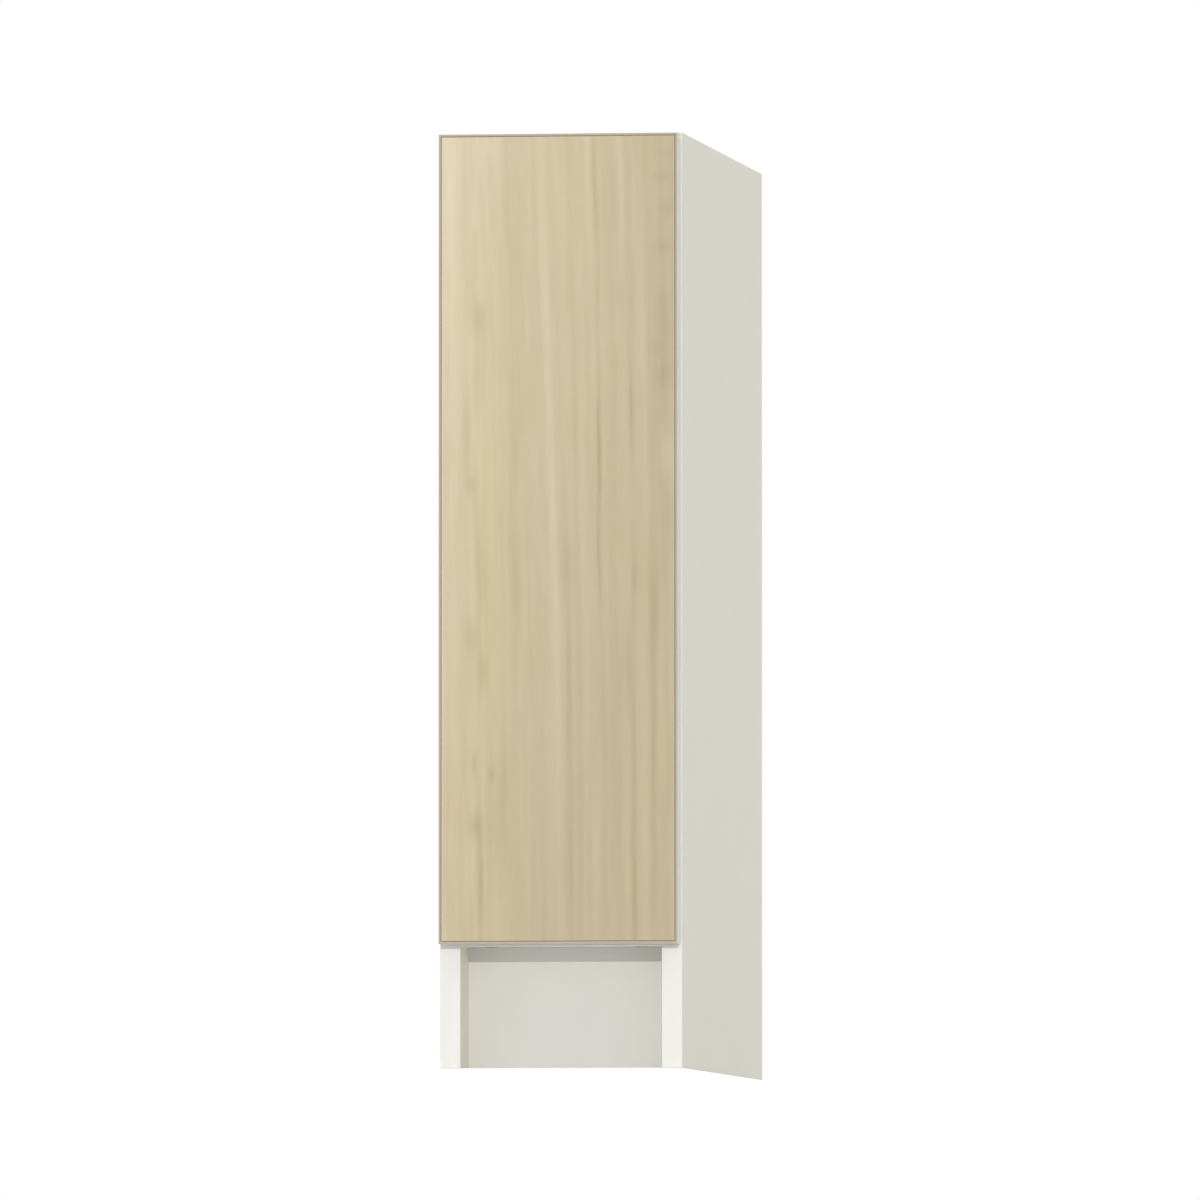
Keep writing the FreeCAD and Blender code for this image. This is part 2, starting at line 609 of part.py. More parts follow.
def front():
    half_w, low, high = HALF_W - FRONT_REVEAL, TOE_H + FRONT_REVEAL, CABINET_H - FRONT_REVEAL
    core_x, core_low, core_high = half_w - FRONT_BAND_T, low + FRONT_BAND_T, high - FRONT_BAND_T
    thick = (FACE_Y, FRONT_BACK_Y)
    parts = {
        "front_panel": front_panel(both(core_x), thick, (core_low, core_high)),
        "front_edge_band_bottom": box(both(core_x), thick, (low, core_low)),
        "front_edge_band_top": box(both(core_x), thick, (core_high, high)),
        "front_adjusters": [],
        "adjuster_screws": [],
    }
    for name, side in SIDES.items():
        parts[f"front_edge_band_{name}"] = box((side * core_x, side * half_w), thick, (low, high))
    for x, z in adjuster_places():
        seat, deep = (x, FRONT_BACK_Y, z), (x, FRONT_BACK_Y - ADJUSTER_T, z)
        disc = rod(seat, deep, ADJUSTER_R - BORE_PLAY)
        parts["front_adjusters"].append(carve(disc, [rod(seat, deep, SCREW_R + BORE_PLAY)]))
        parts["adjuster_screws"].append(pan_screw(
            (x, UPRIGHT_Y, z), (0, 1, 0), BOARD_T + ADJUSTER_T,
            head=(ADJUST_HEAD_R, ADJUST_HEAD_TOP_R, ADJUST_HEAD_T)))
    return parts


# Push latch

def latch_spring():
    """A compression spring between the plunger and the end of the bore, just clear of both."""
    room = SPRING_WIRE_R + PLUNGER_PLAY
    length = LATCH_BORE_END_Y - SPRING_Y - 2 * room
    path = Part.makeHelix(length / SPRING_TURNS, length, SPRING_R)
    section = Part.Wire(Part.makeCircle(SPRING_WIRE_R, Vector(SPRING_R, 0, 0), Vector(0, 1, 0)))
    coil = Part.Wire(path).makePipeShell([section], True, True)
    coil.rotate(Vector(0, 0, 0), Vector(1, 0, 0), -90)
    coil.translate(Vector(0, SPRING_Y + room, LATCH_AXIS_Z))
    return coil


def push_latch():
    body = box(both(LATCH_W / 2), (LATCH_Y, LATCH_Y + LATCH_L), (TOP_RAIL_Z - LATCH_H, TOP_RAIL_Z))
    ear_y = (LATCH_MID_Y - LATCH_EAR_L / 2, LATCH_MID_Y + LATCH_EAR_L / 2)
    ears = box(both(LATCH_W / 2 + LATCH_EAR_W), ear_y, (TOP_RAIL_Z - LATCH_EAR_T, TOP_RAIL_Z))
    mouth, tip, plunger, spring, bore_end = (
        (0, y, LATCH_AXIS_Z) for y in (LATCH_Y, TIP_Y, PLUNGER_Y, SPRING_Y, LATCH_BORE_END_Y))
    bore = rod(mouth, bore_end, PLUNGER_R + PLUNGER_PLAY)
    holes = [shank_hole(seat, (0, 0, -1), LATCH_EAR_T, THIN_SCREW_R) for seat in latch_screw_seats()]
    return {
        "latch_housing": carve(join(body, [ears]), [bore, *holes]),
        "latch_screws": [pan_screw(seat, (0, 0, -1), LATCH_SCREW_L, THIN_SCREW_R)
                         for seat in latch_screw_seats()],
        "latch_spring": latch_spring(),
        "latch_plunger": rod(plunger, spring, PLUNGER_R),
        "plunger_pad": rod(tip, plunger, PLUNGER_R),
    }


def save(parts):
    """Writes each piece, or group of like pieces, to its own file."""
    os.makedirs("parts", exist_ok=True)
    for name, shape in parts.items():
        solids = shape if isinstance(shape, list) else [shape]
        Part.makeCompound(solids).exportStep(f"parts/{name}.step")


save({**carcass(join_carcass()), **slides(), **pullout_unit(), **front(), **push_latch()})
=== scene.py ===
"""How the pull-out base cabinet looks: the finishes of its boards, bands, slides and fittings, the soft
edges of its boards, and the pale room, light and camera that show it. Places and lengths are in metres,
and patterns are sized in millimetres.
"""
import json
import math
import bpy
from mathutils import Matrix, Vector


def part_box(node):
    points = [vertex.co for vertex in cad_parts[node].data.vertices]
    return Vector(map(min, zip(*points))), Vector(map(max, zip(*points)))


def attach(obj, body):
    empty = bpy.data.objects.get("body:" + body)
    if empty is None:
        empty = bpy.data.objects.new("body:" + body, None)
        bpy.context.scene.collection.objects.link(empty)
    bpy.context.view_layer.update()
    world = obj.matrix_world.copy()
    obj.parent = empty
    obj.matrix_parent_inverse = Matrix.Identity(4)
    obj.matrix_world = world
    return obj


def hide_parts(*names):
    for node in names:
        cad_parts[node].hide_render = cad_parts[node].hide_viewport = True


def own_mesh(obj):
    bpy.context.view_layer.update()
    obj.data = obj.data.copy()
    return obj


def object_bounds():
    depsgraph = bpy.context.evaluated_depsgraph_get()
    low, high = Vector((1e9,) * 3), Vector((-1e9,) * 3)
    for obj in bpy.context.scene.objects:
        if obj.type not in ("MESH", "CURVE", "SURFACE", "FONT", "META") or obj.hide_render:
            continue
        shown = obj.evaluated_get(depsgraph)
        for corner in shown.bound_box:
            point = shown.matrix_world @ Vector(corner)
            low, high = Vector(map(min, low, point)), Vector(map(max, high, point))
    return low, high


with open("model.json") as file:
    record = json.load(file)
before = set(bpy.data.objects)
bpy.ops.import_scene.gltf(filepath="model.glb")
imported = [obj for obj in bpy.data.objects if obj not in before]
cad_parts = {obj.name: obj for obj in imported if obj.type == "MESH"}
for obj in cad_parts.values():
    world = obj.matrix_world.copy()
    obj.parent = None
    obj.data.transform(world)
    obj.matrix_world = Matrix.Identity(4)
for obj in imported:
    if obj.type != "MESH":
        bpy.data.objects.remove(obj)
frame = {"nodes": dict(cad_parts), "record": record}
cad_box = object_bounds()

MM = 0.001
X_AXIS, Y_AXIS, Z_AXIS = (1, 0, 0), (0, 1, 0), (0, 0, 1)
AXES = (X_AXIS, Y_AXIS, Z_AXIS)

# View: the camera stands far off, a little to the right and lower than the floor
VIEW_AZIMUTH = math.radians(7.809)
VIEW_ELEVATION = math.radians(-2.562)
VIEW_DISTANCE = 18.196
VIEW_TARGET = Vector((-0.0020, 0.0, 0.4509))
SENSOR_WIDTH = 36.0
LENS = 573.6
CLIP_END = 80.0

# Light: an even white room, a broad soft lamp high in front, and a small low one whose light draws the
# shadow under the slab front. A lamp has its elevation, its width as an angle, its strength and colour.
DOME_STRENGTH = 0.65
LAMPS = {
    "soft_front_lamp": (math.radians(65.0), math.radians(35.0), 0.12 * math.pi, "#ffffff"),
    "low_front_lamp": (math.radians(11.2), math.radians(0.6), 0.28 * math.pi, "#fffef7"),
}

# Floor: half its width, how far it and the white sheet lie below the cabinet, and its own glow
FLOOR_HALF = 20.0
FLOOR_DROP = 0.05 * MM
UNDERSIDE_DROP = 0.08 * MM
FLOOR_GLOW = 0.2

# Soft edges: the eased arris of a board, and what counts as one point, as flat and as sharp
BOARD_ARRIS = 0.35 * MM
WELD_DISTANCE = 0.01 * MM
FLAT_ANGLE = math.radians(0.2)
ARRIS_ANGLE = math.radians(40)

# Boards: a surface is a face, and not an edge, where its way out has this cosine to the thickness or more
FACE_COSINE = 0.7

# Slab front: the chamfer that shows as a fine dark line inside the edge band
JOINT_LINE = 0.8 * MM

# Maple figure, in millimetres on the slab front. The grain leans to the left on its way up, with a power
# of its height. It leans most round its middle, by a share of that at the sides, and sways a little.
# Sways and layers of grain have a width, a length and an amount. A mark has its place from the left edge
# and from the lower edge, its half width, its half length and how much lighter or darker it is.
LEAN = 18.5
LEAN_POWER = 2.0
LEAN_MIDDLE = 90
LEAN_HALF_WIDTH = 40
SIDE_LEAN = 0.3
SWAYS = ((60, 250, 2.0), (10, 40, 1.0))
GRAIN_LAYERS = (
    (12, 1100, 0.045), (8, 90, 0.03), (6.5, 900, 0.035), (4.5, 50, 0.025), (1.8, 40, 0.01),
)
LIGHT_STREAKS = (
    (5, 400, 20, 700, 0.04), (107, 380, 5, 560, 0.10), (137, 700, 5, 75, 0.05),
    (173, 700, 2.5, 70, 0.06), (191, 600, 5, 130, 0.07), (194, 430, 4, 120, 0.06),
    (194, 170, 5, 160, 0.05), (210, 220, 4, 110, 0.09), (213, 458, 7, 26, 0.12),
    (135, 420, 3.5, 100, 0.055), (138, 190, 4, 80, 0.05), (147, 80, 4, 60, 0.06),
    (9, 690, 9, 110, 0.04), (26, 75, 7, 40, 0.06), (42, 745, 11, 20, 0.06), (33, 682, 6, 15, 0.06),
)
DARK_STREAKS = (
    (146, 710, 3, 70, -0.10), (154, 690, 8, 75, -0.05), (150, 460, 1.8, 65, -0.18),
    (150, 360, 2, 45, -0.13), (67, 620, 8, 150, -0.07), (70, 460, 4, 40, -0.10),
    (71, 345, 4.5, 65, -0.10), (180, 497, 2, 42, -0.14), (184, 340, 3, 22, -0.12),
    (179, 250, 3.5, 42, -0.10), (183, 165, 3, 65, -0.09), (184, 42, 3, 65, -0.17),
    (203, 308, 3.5, 32, -0.11), (202, 190, 3, 115, -0.09), (120, 350, 5, 28, -0.09),
    (121, 230, 3, 95, -0.11), (122, 60, 3, 60, -0.12), (37, 530, 6, 34, -0.09),
    (26, 468, 3.5, 40, -0.09), (37, 350, 5, 32, -0.10), (55, 130, 11, 65, -0.09),
    (37, 50, 3, 60, -0.16), (166, 690, 3, 50, -0.06),
)
EYES = (
    (36, 585, 6.5, 17, -0.12), (29, 428, 5.5, 9, -0.12), (28, 285, 7, 17, -0.10),
    (39, 252, 5, 18, -0.14), (32, 166, 3, 11, -0.12), (49, 157, 3.5, 8, -0.12), (33, 108, 6, 13, -0.17),
)
CURLS = (
    (216, 690, 6, 75, -0.05), (213, 738, 9, 6, -0.06), (211, 716, 10, 6, -0.08),
    (216, 687, 8, 7, -0.07), (212, 650, 10, 7, -0.08), (212, 590, 8, 28, -0.08),
    (205, 556, 7, 8, -0.07), (211, 530, 8, 13, -0.12),
)
STRAW_STREAKS = ((46, 358, 14, 170, 0.9), (65, 70, 34, 110, 0.45))

# Maple colour, from 0 for cream to 1 for tan: how tan the lower left corner is, and how much that
# changes on the way to the right edge, on the way to the upper edge and in slow drifts. The changes to
# the
# right and upward are painted light: the front is painted darker to the right and lighter upward, as
# light from the upper left would fall on it. The drifts are the wood's own tone.
TAN_AT_CORNER = 0.36
PAINTED_SHADE_ACROSS = 0.42
PAINTED_SHADE_UP = -0.30
TAN_DRIFT = 0.06
# Dark wood is browner: how much of the light and dark goes to red, green and blue
BROWNING = (0.85, 1.02, 1.30)

# Plywood: nine thin plies would blur into one brown at this distance, so they are drawn as five. Their
# fibres make the lines between them ragged, by a share of a pair of plies.
PLIES = 5
PLY_RAGGEDNESS = 0.12

# Sizes of patterns, in millimetres along each axis. Pores, buffing, pearl and fibres are finer on the
# real surfaces. They are drawn as coarse as they need to show.
MAPLE_DRIFT = (60, 60, 500)
STRAW_CLOUDS = (36, 36, 110)
ROSE_CLOUDS = (32, 32, 70)
MAPLE_PORES = (0.7, 0.7, 12)
BAND_DRIFT = (6, 6, 90)
BAND_BUFFING = (0.8, 0.8, 0.8)
BOARD_CLOUDS = (70, 70, 70)
BOARD_PEARL = (1.2, 1.2, 1.2)
CHIP_FLAKES = (3, 3, 1.6)
PLY_FIGURE_WIDTH = 9
PLY_FIGURE_LENGTH = 260
PLY_FIBRES = (0.9, 0.9, 0.9)
MOULD_FLOW = (9, 9, 9)
FLOOR_CLOUDS = (400, 400, 400)
# Solid wood: how much longer its rings are than they are wide
RING_STRETCH = 60

# Depths of the relief that shows as bump
PORE_DEPTH = 0.02 * MM
BUFFING_DEPTH = 0.01 * MM
PEARL_DEPTH = 0.02 * MM
FIBRE_DEPTH = 0.02 * MM
RING_DEPTH = 0.04 * MM
GRIT_DEPTH = 0.03 * MM


def linear(colour):
    """An sRGB hex colour as linear red, green, blue and alpha."""
    parts = [int(colour[i:i + 2], 16) / 255 for i in (1, 3, 5)]
    return (*(p / 12.92 if p <= 0.04045 else ((p + 0.055) / 1.055) ** 2.4 for p in parts), 1.0)


def per(*sizes):
    """How many sizes, in millimetres, go into a millimetre along each axis."""
    return [1 / size for size in sizes]


def blank(name):
    """A new material and its empty node tree."""
    made = bpy.data.materials.new(name)
    made.use_nodes = True
    made.node_tree.nodes.clear()
    return made, made.node_tree


def put(tree, kind, inputs=(), stops=(), **settings):
    """Adds a node. An input is a value, or the node or socket that is linked to it."""
    made = tree.nodes.new("ShaderNode" + kind)
    for name, value in settings.items():
        setattr(made, name, value)
    for key, value in dict(inputs).items():
        socket = made.inputs[key] if isinstance(key, int) else next(
            s for s in made.inputs if s.enabled and s.name == key)
        if isinstance(value, bpy.types.Node):
            value = next(s for s in value.outputs if s.enabled)
        if isinstance(value, bpy.types.NodeSocket):
            tree.links.new(value, socket)
        else:
            socket.default_value = value
    if stops:
        elements = made.color_ramp.elements
        while len(elements) < len(stops):
            elements.new(1.0)
        for element, (position, colour) in zip(elements, stops):
            element.position, element.color = position, linear(colour)
    return made


def millimetres(tree, origin=(0, 0, 0)):
    """The place on a piece, in millimetres from a point."""
    where = put(tree, "TexCoord").outputs["Object"]
    moved = put(tree, "VectorMath", {0: where, 1: origin}, operation="SUBTRACT")
    return put(tree, "VectorMath", {0: moved, "Scale": 1 / MM}, operation="SCALE")


def pattern(tree, place, sizes, seed, **noise):
    """Cloudy noise about zero, whose lumps have a size in millimetres along each axis."""
    counted = put(tree, "VectorMath", {0: place, 1: per(*sizes), 2: (seed, seed, seed)},
                  operation="MULTIPLY_ADD")
    return put(tree, "TexNoise", {"Vector": counted, "Scale": 1.0, **noise}, normalize=False)


def soft_mark(tree, place, across, up, half_w, half_l):
    """A soft long mark on the slab front: 1 at its middle, fading out across and along the grain."""
    share = put(tree, "VectorMath", {0: place, 1: (1 / half_w, 0, 1 / half_l),
                                     2: (-across / half_w, 0, -up / half_l)}, operation="MULTIPLY_ADD")
    square = put(tree, "VectorMath", {0: share, 1: share}, operation="DOT_PRODUCT")
    return put(tree, "Math", {0: 1 / math.e, 1: square}, operation="POWER")


def thin_axis(node):
    """The axis through a board's thickness."""
    low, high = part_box(node)
    size = high - low
    return AXES[min(range(3), key=lambda i: size[i])]


def on_face(tree, axis):
    """1 where a board's face looks along its thickness, 0 on its edges and in its bores."""
    normal = put(tree, "NewGeometry").outputs["True Normal"]
    along = put(tree, "VectorMath", {0: normal, 1: axis}, operation="DOT_PRODUCT")
    size = put(tree, "Math", {0: along}, operation="ABSOLUTE")
    return put(tree, "Math", {0: size, 1: FACE_COSINE}, operation="GREATER_THAN")


def surface(tree, colour, relief, depth, **shader):
    """Ends a material: its colour, its relief with a depth, and the other inputs of its shader."""
    bump = put(tree, "Bump", {"Height": relief, "Distance": depth, "Strength": 1.0})
    shown = put(tree, "BsdfPrincipled", {"Base Color": colour, "Normal": bump, **shader})
    put(tree, "OutputMaterial", {"Surface": shown})


def grain_place(tree, flat, height):
    """The place across and along the maple's grain, which leans more and more on its way up, most round
    its middle, and sways a little.
    """
    rise = put(tree, "VectorMath", {0: flat, 1: (0, 0, 1 / height)}, operation="DOT_PRODUCT")
    bend = put(tree, "Math", {0: rise, 1: LEAN_POWER}, operation="POWER")
    near_middle = soft_mark(tree, flat, LEAN_MIDDLE, 0, LEAN_HALF_WIDTH, math.inf)
    share = put(tree, "MapRange", {"Value": near_middle, "To Min": SIDE_LEAN})
    lean = put(tree, "Math", {0: bend, 1: share}, operation="MULTIPLY")
    place = put(tree, "VectorMath", {0: lean, 1: (LEAN, 0, 0), 2: flat}, operation="MULTIPLY_ADD")
    for across, along, amount in SWAYS:
        sway = pattern(tree, place, (across, across, along), seed=3.7)
        place = put(tree, "VectorMath", {0: sway, 1: (amount, 0, 0), 2: place},
                    operation="MULTIPLY_ADD")
    return place


def figure_mark(tree, place, height, across, up, half_w, half_l):
    """A soft mark at a place on the slab front, drawn along the grain as it leans there."""
    near_middle = math.exp(-((across - LEAN_MIDDLE) / LEAN_HALF_WIDTH) ** 2)
    lean = LEAN * (up / height) ** LEAN_POWER * (SIDE_LEAN + (1 - SIDE_LEAN) * near_middle)
    return soft_mark(tree, place, across + lean, up, half_w, half_l)


def maple_tone(tree, place, height):
    """How light or dark the maple is: layers of fine streaks, then single streaks, eyes and curls."""
    tone = 0.0
    for layer, (across, along, amount) in enumerate(GRAIN_LAYERS):
        fibre = pattern(tree, place, (across, across, along), seed=5.3 + layer, Detail=1.0)
        tone = put(tree, "Math", {0: fibre, 1: amount, 2: tone}, operation="MULTIPLY_ADD")
    for *where, amount in (*LIGHT_STREAKS, *DARK_STREAKS, *EYES, *CURLS):
        mark = figure_mark(tree, place, height, *where)
        tone = put(tree, "Math", {0: mark, 1: amount, 2: tone}, operation="MULTIPLY_ADD")
    return tone


def maple_colour(tree, flat, place, width, height):
    """From cream at the upper left to tan at the right as painted light, with straw and rose drifting
    through it.
    """
    drift = pattern(tree, place, MAPLE_DRIFT, seed=1.9)
    # Painted light: the colour goes to tan towards the right and to cream upward, a fall-off of light
    # from the upper left painted into the wood
    painted_falloff = put(tree, "VectorMath", {0: flat, 1: (PAINTED_SHADE_ACROSS / width, 0, PAINTED_SHADE_UP / height)},
                 operation="DOT_PRODUCT")
    drift_and_painted_falloff = put(tree, "Math", {0: drift, 1: TAN_DRIFT, 2: painted_falloff}, operation="MULTIPLY_ADD")
    tan_and_painted_falloff = put(tree, "Math", {0: drift_and_painted_falloff, 1: TAN_AT_CORNER}, operation="ADD")
    colour = put(tree, "ValToRGB", {"Fac": tan_and_painted_falloff}, stops=(
        (0.0, "#dfceb1"), (0.3, "#cdbd9d"), (0.57, "#c0b093"), (0.85, "#c0b092")))

    straw = put(tree, "MapRange", {"Value": pattern(tree, place, STRAW_CLOUDS, seed=12.4),
                                   "From Min": 0.05, "From Max": 0.6, "To Max": 0.45})
    for *where, amount in STRAW_STREAKS:
        mark = figure_mark(tree, place, height, *where)
        streak = put(tree, "Math", {0: mark, 1: amount}, operation="MULTIPLY")
        straw = put(tree, "Math", {0: straw, 1: streak}, operation="MAXIMUM")
    rose = put(tree, "MapRange", {"Value": pattern(tree, place, ROSE_CLOUDS, seed=15.8),
                                  "From Min": 0.1, "From Max": 0.6, "To Max": 0.4})
    for amount, tint in ((straw, "#faffef"), (rose, "#fffaf8")):
        colour = put(tree, "Mix", {"Factor": amount, "A": colour, "B": linear(tint)}, data_type="RGBA",
                     blend_type="MULTIPLY")
    return colour


def joint_line(tree, low, high):
    """1 on the chamfer between the slab front's face and its edge band, and 0 within it."""
    middle = (low + high) / 2
    reach = (high - middle - Vector((JOINT_LINE, JOINT_LINE, JOINT_LINE))) / MM
    off_middle = put(tree, "VectorMath", {0: millimetres(tree, middle)}, operation="ABSOLUTE")
    past = put(tree, "VectorMath", {0: off_middle, 1: reach}, operation="SUBTRACT")
    sides = put(tree, "SeparateXYZ", {"Vector": past})
    furthest = put(tree, "Math", {0: sides.outputs["X"], 1: sides.outputs["Z"]}, operation="MAXIMUM")
    return put(tree, "Math", {0: furthest, 1: 0.0}, operation="GREATER_THAN")


def maple_laminate(low, high):
    """Maple decor laminate, printed and pressed matt: pale straight streaks, with painted light that
    makes it creamier to the upper left, with small eyes, a straw streak and a curl of figure up the right
    edge.
    Its arris shows a dark joint.
    """
    made, tree = blank("maple_laminate_pressed")
    width, height = (high.x - low.x) / MM, (high.z - low.z) / MM
    flat = millimetres(tree, low)
    place = grain_place(tree, flat, height)
    tone = maple_tone(tree, place, height)
    shade = put(tree, "VectorMath", {0: tone, 1: BROWNING, 2: (1, 1, 1)}, operation="MULTIPLY_ADD")
    colour = maple_colour(tree, flat, place, width, height)
    shaded = put(tree, "VectorMath", {0: colour, 1: shade}, operation="MULTIPLY")
    joint = joint_line(tree, low, high)
    shown = put(tree, "Mix", {"Factor": joint, "A": shaded, "B": linear("#9c917d")}, data_type="RGBA")
    pores = pattern(tree, place, MAPLE_PORES, seed=21.3, Detail=2.0)
    roughness = put(tree, "MapRange", {"Value": pores, "From Min": -0.5, "From Max": 0.5,
                                       "To Min": 0.44, "To Max": 0.56})
    surface(tree, shown, pores, PORE_DEPTH, Roughness=roughness, IOR=1.5)
    return made


def abs_band(name, colour, shade, outline=None):
    """ABS edge banding, extruded and buffed: one soft satin colour with a faint drift along the strip.
    A two-tone strip shows the colour of its outline where it looks forward.
    """
    made, tree = blank(name)
    place = millimetres(tree)
    drift = put(tree, "MapRange", {"Value": pattern(tree, place, BAND_DRIFT, seed=2.2, Detail=2.0),
                                   "From Min": -0.6, "From Max": 0.6})
    shown = put(tree, "Mix", {"Factor": drift, "A": linear(colour), "B": linear(shade)},
                data_type="RGBA")
    if outline:
        shown = put(tree, "Mix", {"Factor": on_face(tree, Y_AXIS), "A": shown, "B": linear(outline)},
                    data_type="RGBA")
    buffing = pattern(tree, place, BAND_BUFFING, seed=4.6, Detail=2.0)
    surface(tree, shown, buffing, BUFFING_DEPTH, Roughness=0.42, IOR=1.54)
    return made


def melamine_board(name, axis, colour, shade):
    """Melamine-faced chipboard: a matt face pressed to a pearl, and brown flakes where an edge is left
    raw.
    """
    made, tree = blank(name + "_melamine_chipboard_" + "xyz"[AXES.index(axis)])
    place = millimetres(tree)
    cloud = put(tree, "MapRange", {"Value": pattern(tree, place, BOARD_CLOUDS, seed=6.1, Detail=2.0),
                                   "From Min": -0.6, "From Max": 0.6})
    face = put(tree, "Mix", {"Factor": cloud, "A": linear(colour), "B": linear(shade)},
               data_type="RGBA")
    counted = put(tree, "VectorMath", {0: place, 1: per(*CHIP_FLAKES)}, operation="MULTIPLY")
    flakes = put(tree, "TexVoronoi", {"Vector": counted, "Scale": 1.0})
    flake = put(tree, "SeparateColor", {"Color": flakes.outputs["Color"]})
    core = put(tree, "ValToRGB", {"Fac": flake}, stops=(
        (0.0, "#8d6d48"), (0.35, "#b08f63"), (0.7, "#c7a97c"), (1.0, "#dcc39a")))
    is_face = on_face(tree, axis)
    shown = put(tree, "Mix", {"Factor": is_face, "A": core, "B": face}, data_type="RGBA")
    roughness = put(tree, "MapRange", {"Value": is_face, "To Min": 0.85, "To Max": 0.58})
    pearl = pattern(tree, place, BOARD_PEARL, seed=8.8, Detail=1.0)
    relief = put(tree, "Mix", {"Factor": is_face, "A": flakes.outputs["Distance"], "B": pearl})
    surface(tree, shown, relief, PEARL_DEPTH, Roughness=roughness, IOR=1.5)
    return made


def birch_plywood(node):
    """Birch plywood, peeled and lacquered: a pale face with long soft figure, and striped plies at its
    edges. The figure runs up the uprights and along the tray and shelves.
    """
    made, tree = blank("birch_plywood_" + node)
    axis = thin_axis(node)
    low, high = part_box(node)
    thickness = (high - low).dot(Vector(axis)) / MM
    place = millimetres(tree, low)
    grain = Z_AXIS if axis == Y_AXIS else Y_AXIS
    sizes = [PLY_FIGURE_LENGTH if a else PLY_FIGURE_WIDTH for a in grain]
    waves = pattern(tree, place, sizes, seed=3.3, Detail=3.0, Distortion=0.4)
    figure = put(tree, "MapRange", {"Value": waves, "From Min": -0.6, "From Max": 0.6})
    face = put(tree, "ValToRGB", {"Fac": figure}, stops=(
        (0.0, "#d4bd93"), (0.45, "#e2cfa9"), (1.0, "#ead9b6")))
    pairs = put(tree, "VectorMath", {0: place, 1: [PLIES / 2 / thickness * a for a in axis]},
                operation="DOT_PRODUCT")
    within_pair = put(tree, "Math", {0: pairs}, operation="FRACT")
    fibres = pattern(tree, place, PLY_FIBRES, seed=7.4, Detail=2.0)
    ply = put(tree, "Math", {0: fibres, 1: PLY_RAGGEDNESS, 2: within_pair}, operation="MULTIPLY_ADD")
    edge = put(tree, "ValToRGB", {"Fac": ply}, stops=(
        (0.0, "#d9c297"), (0.44, "#ceb487"), (0.54, "#a07f54"), (0.94, "#ab8a5d"), (1.0, "#d9c297")))
    shown = put(tree, "Mix", {"Factor": on_face(tree, axis), "A": edge, "B": face}, data_type="RGBA")
    surface(tree, shown, fibres, FIBRE_DEPTH, Roughness=0.42, IOR=1.5)
    return made


def plain_wood(name, early, late, ring, along):
    """Sawn or turned solid wood: rings of early and late wood that run along the piece."""
    made, tree = blank(name)
    sizes = [RING_STRETCH * ring if a else ring for a in along]
    waves = pattern(tree, millimetres(tree), sizes, seed=5.5, Detail=3.0)
    rings = put(tree, "MapRange", {"Value": waves, "From Min": -0.5, "From Max": 0.5})
    shown = put(tree, "Mix", {"Factor": rings, "A": linear(late), "B": linear(early)}, data_type="RGBA")
    surface(tree, shown, rings, RING_DEPTH, Roughness=0.7, IOR=1.5)
    return made


def metal(name, colour, dull, roughness, spread, marks, depth):
    """A bare or plated metal: its marks, with a size and a depth in millimetres, vary its colour and its
    gloss. They are coarser than the real ones, so that they show.
    """
    made, tree = blank(name)
    lines = pattern(tree, millimetres(tree), marks, seed=4.4, Detail=3.0)
    worn = put(tree, "MapRange", {"Value": lines, "From Min": -0.5, "From Max": 0.5})
    shown = put(tree, "Mix", {"Factor": worn, "A": linear(colour), "B": linear(dull)}, data_type="RGBA")
    gloss = put(tree, "MapRange", {"Value": worn, "To Min": roughness - spread,
                                   "To Max": roughness + spread})
    surface(tree, shown, lines, depth * MM, Metallic=1.0, Roughness=gloss)
    return made


def moulded(name, colour, shade, roughness, grit, ior):
    """Injection-moulded plastic or rubber: one colour with a faint flow drift and the grit of its mould,
    with a size in millimetres. The grit is coarser than the real one, so that it shows.
    """
    made, tree = blank(name)
    place = millimetres(tree)
    flow = put(tree, "MapRange", {"Value": pattern(tree, place, MOULD_FLOW, seed=3.1, Detail=2.0),
                                  "From Min": -0.6, "From Max": 0.6})
    shown = put(tree, "Mix", {"Factor": flow, "A": linear(colour), "B": linear(shade)},
                data_type="RGBA")
    spark = pattern(tree, place, (grit, grit, grit), seed=6.6, Detail=2.0)
    surface(tree, shown, spark, GRIT_DEPTH, Roughness=roughness, IOR=ior)
    return made


def soften(piece):
    """Eases the sharp edges of a board, as a hand plane or a scraper leaves them. Its flat faces are made
    whole first, so that no sliver between two bores is folded over by the bevel.
    """
    weld = piece.modifiers.new("weld", "WELD")
    weld.merge_threshold = WELD_DISTANCE
    flat = piece.modifiers.new("flat", "DECIMATE")
    flat.decimate_type = "DISSOLVE"
    flat.angle_limit = FLAT_ANGLE
    arris = piece.modifiers.new("arris", "BEVEL")
    arris.width = BOARD_ARRIS
    arris.segments = 2
    arris.limit_method = "ANGLE"
    arris.angle_limit = ARRIS_ANGLE
    arris.use_clamp_overlap = False
    arris.harden_normals = True
    even = piece.modifiers.new("even", "WEIGHTED_NORMAL")
    even.weight = 100
    even.keep_sharp = True


